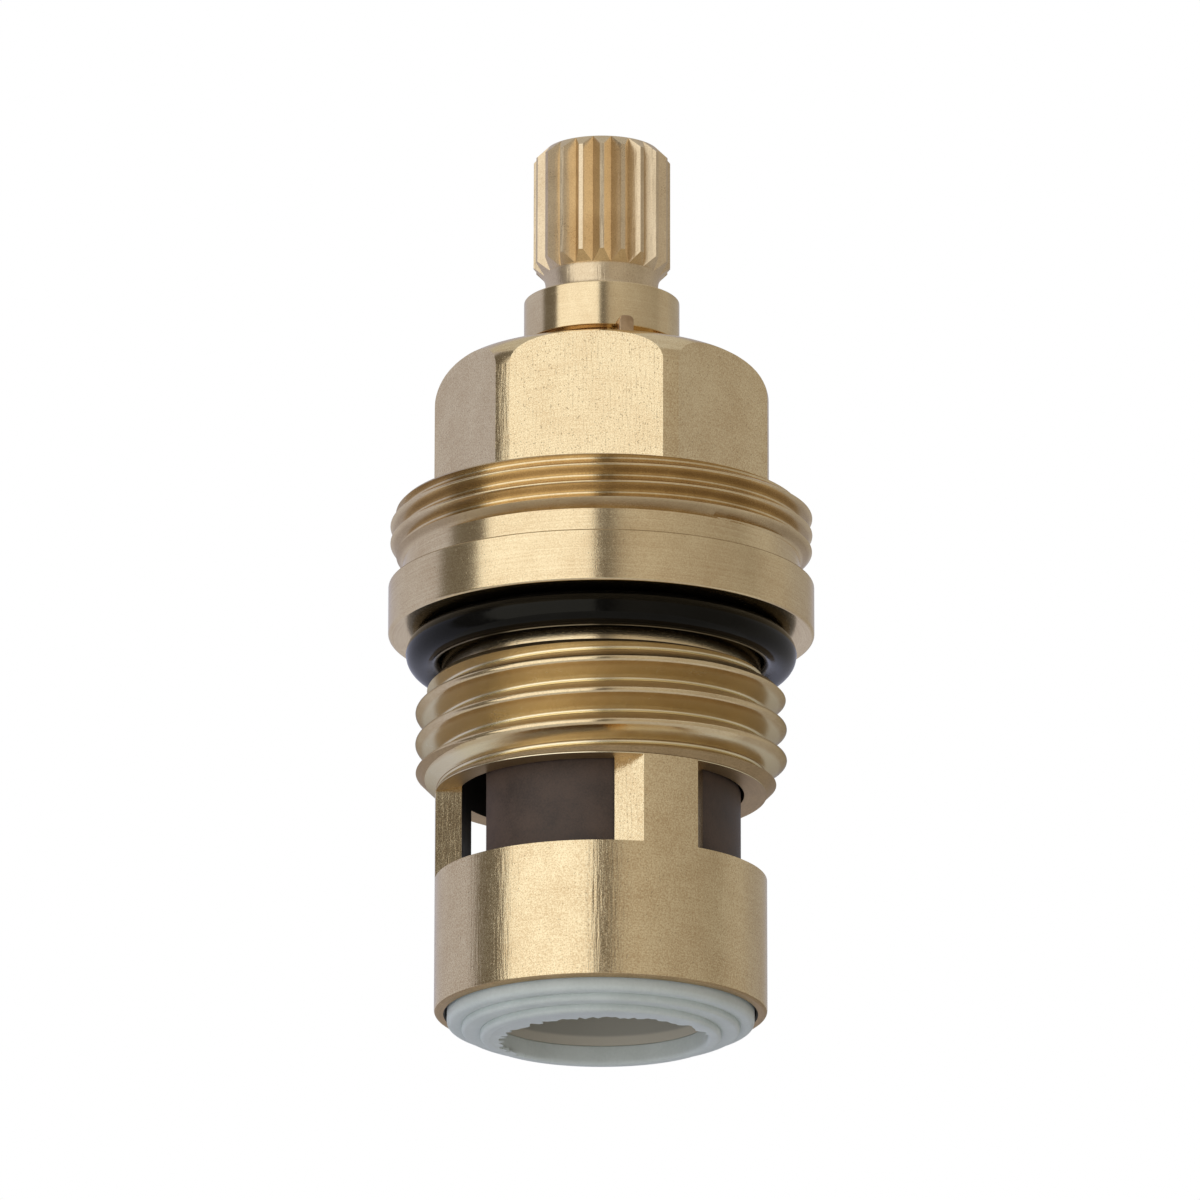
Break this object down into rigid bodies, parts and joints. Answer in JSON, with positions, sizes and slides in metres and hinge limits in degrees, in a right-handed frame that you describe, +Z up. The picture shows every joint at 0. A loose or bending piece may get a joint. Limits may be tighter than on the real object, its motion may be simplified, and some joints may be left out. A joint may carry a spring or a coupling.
{
  "type": "ceramic disc tap cartridge",
  "caption": "Brass half-turn tap headwork with a splined spindle, hexagon, flange and external threads; ceramic discs in its windowed cage open and close the water way.",
  "frame": {"origin": "centre of the seat seal's bottom face, on the spindle axis", "axes": "+Z up the spindle; two flats of the hexagon face -Y and +Y, and one cage window faces +X"},
  "size_m": [0.0242, 0.0242, 0.0524],
  "materials": {
    "brass": "turned and sand-textured, unplated",
    "bronze": "rolled strip",
    "black_rubber": "satin",
    "brown_ceramic": "sintered, matte",
    "ivory_ceramic": "lapped",
    "pale_silicone": "moulded, matte",
    "beige_plastic": "moulded",
    "white_plastic": "moulded"
  },
  "bodies": {
    "housing": {"headwork_body": "brass", "flange_o_ring": "black_rubber", "thrust_washer": "white_plastic", "fixed_disc": "ivory_ceramic", "seat_seal": "pale_silicone", "seal_support_ring": "beige_plastic"},
    "spindle_unit": {"spindle": "brass", "spindle_o_ring_upper": "black_rubber", "spindle_o_ring_lower": "black_rubber", "retaining_clip": "bronze", "moving_disc": "brown_ceramic"}
  },
  "joints": [
    {"name": "spindle_turn", "type": "hinge", "parent": "housing", "child": "spindle_unit", "pos_m": [0, 0, 0.03], "axis": [0, 0, 1], "range_deg": [0, 180]}
  ]
}
